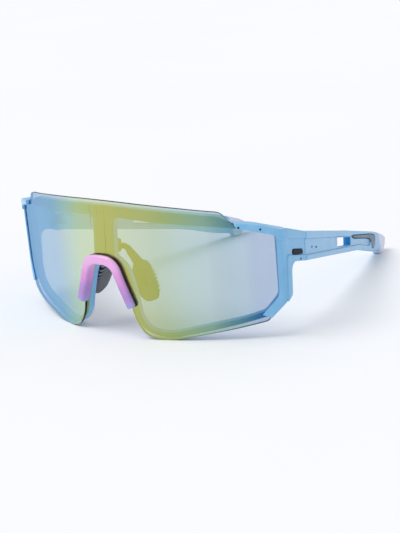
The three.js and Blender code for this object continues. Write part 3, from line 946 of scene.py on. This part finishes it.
def temples():
    """The temples, each with a sunk panel, a window, a seat for the grip and the hinge's tongue."""
    shape = prism(TEMPLE, -SIDE_THICKNESS, 0)
    cut(shape, prism(TEMPLE_PANEL, -PANEL_DEPTH, 1))
    cut(shape, prism(grown(GRIP, INSERT_GAP), -PANEL_DEPTH - GRIP_SEAT, 1))
    cut(shape, prism(TEMPLE_WINDOW, -SIDE_THICKNESS - 1, 1))
    eased(shape, 0.4, holes=WINDOW_SPLITS)
    sliced(shape, SIDE_SLICE)
    shape.data.materials.append(frame_blue)
    shape.data.materials.append(frame_painted_shade)
    # Faces in the window's walls take the darker blue, which is painted shade.
    for polygon in shape.data.polygons:
        polygon.material_index = int(window_wall(polygon))
    knuckle = upright(KNUCKLE_RADIUS, *TONGUE)
    root = prism(rectangle(0.6, 9, *TONGUE), -PIVOT_INSET - 0.6, -3)
    combined(knuckle, root, "UNION")
    merged(shape, eased(knuckle, 0.25, 2))
    pair(
        shape, temple_point, "temple_arm", ("arm_left", "arm_right"),
        "frame_blue", frame_blue, ["temple"]
    )


def grips():
    """The grey rubber inserts of the temples."""
    shape = sliced(eased(prism(GRIP, -PANEL_DEPTH - 0.6, 0.1), 0.25), SIDE_SLICE)
    pair(
        shape, temple_point, "grip_insert", ("arm_left", "arm_right"),
        "rubber_grey", rubber_grey, ["temple_grip"]
    )


def tip_socks():
    """The soft ends of the temples."""
    shape = prism(SOCK, -SIDE_THICKNESS - 0.2, 0.2, least=3.5)
    eased(shape, 0.9, 5)
    sliced(shape, SIDE_SLICE)
    pair(
        shape, temple_point, "temple_tip", ("arm_left", "arm_right"),
        "tip_lilac", tip_lilac, ["tip_sock"]
    )


def badges():
    """A plain dark bar in the seat on each hook."""
    shape = eased(prism(BADGE, -PANEL_DEPTH - 0.5, -PANEL_DEPTH + 0.25), 0.12, 2)
    pair(
        shape, hook_point, "side_inlay", ("front", "front"),
        "badge_dark", ink_black, ["badge"]
    )


def ink_specks():
    """Small raised drops of dark ink: [along, height, radius] in hook and temple coordinates."""
    for name, body, mapping, depth, drops in (
        ("hook_specks", "front", hook_point, 0.0, HOOK_SPECKS),
        ("temple_specks", "arm_left", temple_point, -PANEL_DEPTH, TEMPLE_SPECKS),
    ):
        beads = []
        for along, height, radius in drops:
            ends = (along - radius, along + radius, height - radius, height + radius)
            corners = rectangle(*ends, radius)
            beads.append(eased(prism(corners, depth - 0.15, depth + 0.2, least=0.0), 0.12, 2))
        bead = merged(*beads)
        placed(bead, mapping)
        finished(bead, name, body, "badge_dark", ink_black)


lens_shield()
frame_rim()
hooks()
hinge_lugs()
nose_clip()
clip_gasket()
nose_arms()
nose_pads()
nose_saddle()
temples()
grips()
tip_socks()
badges()
ink_specks()

for name in ("hinge_screw", "hinge_nut", "nose_wire"):
    for side in ("left", "right"):
        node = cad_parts[f"{name}_{side}"]
        node.data.materials.clear()
        node.data.materials.append(steel)

# ------------------------------------------------------------- floor, light and camera


FLOOR_HALF = 6.0
FLOOR_DROP = 0.0001
WORLD_COLOUR = (0.97, 0.98, 1.0, 1.0)
WORLD_STRENGTH = 0.63
SUN_STRENGTH = 1.5
SUN_SPREAD = math.radians(40)
SUN_DIRECTION = Vector((-0.45, -0.6, 1.2))
CAMERA_PLACE = (0.35950, -0.52218, 0.18729)
CAMERA_HEADING = math.radians(35.30)
CAMERA_DROP = math.radians(15.70)
CAMERA_ROLL = math.radians(-2.98)
CAMERA_LENS = 92.93


def pale_floor():
    """A matt floor, almost white, just below the glasses."""
    mesh = bpy.data.meshes.new("floor")
    low, high = -FLOOR_HALF, FLOOR_HALF
    corners = [(low, low, 0), (high, low, 0), (high, high, 0), (low, high, 0)]
    mesh.from_pydata(corners, [], [(0, 1, 2, 3)])
    graph = Graph("floor_white")
    colour = graph.ramp(graph.noise(3.0), [(0.3, "F7F8FB"), (0.7, "F9FAFC")])
    shader = graph.node("ShaderNodeBsdfDiffuse", Color=colour)
    mesh.materials.append(graph.surface(shader.outputs[0]))
    floor = bpy.data.objects.new("floor", mesh)
    bpy.context.scene.collection.objects.link(floor)
    floor.location.z = -FLOOR_DROP


def studio_light():
    """An even, nearly white surround, and one wide, soft sun above the front."""
    world = bpy.data.worlds.new("studio")
    world.use_nodes = True
    background = world.node_tree.nodes["Background"]
    background.inputs["Color"].default_value = WORLD_COLOUR
    background.inputs["Strength"].default_value = WORLD_STRENGTH
    bpy.context.scene.world = world
    sun = bpy.data.lights.new("soft_key", "SUN")
    sun.energy = SUN_STRENGTH
    sun.angle = SUN_SPREAD
    lamp = bpy.data.objects.new("soft_key", sun)
    lamp.rotation_euler = SUN_DIRECTION.to_track_quat("Z", "Y").to_euler()
    bpy.context.scene.collection.objects.link(lamp)


def camera():
    """A view from the front and the wearer's left, looking a little down."""
    data = bpy.data.cameras.new("camera")
    data.sensor_width = 36
    data.lens = CAMERA_LENS
    data.clip_start = 0.01
    view = bpy.data.objects.new("camera", data)
    turn = (
        Matrix.Rotation(CAMERA_HEADING, 4, "Z")
        @ Matrix.Rotation(math.pi / 2 - CAMERA_DROP, 4, "X")
        @ Matrix.Rotation(CAMERA_ROLL, 4, "Z")
    )
    view.matrix_world = Matrix.Translation(CAMERA_PLACE) @ turn
    bpy.context.scene.collection.objects.link(view)
    bpy.context.scene.camera = view


pale_floor()
studio_light()
camera()
bpy.context.scene.view_settings.view_transform = "Standard"
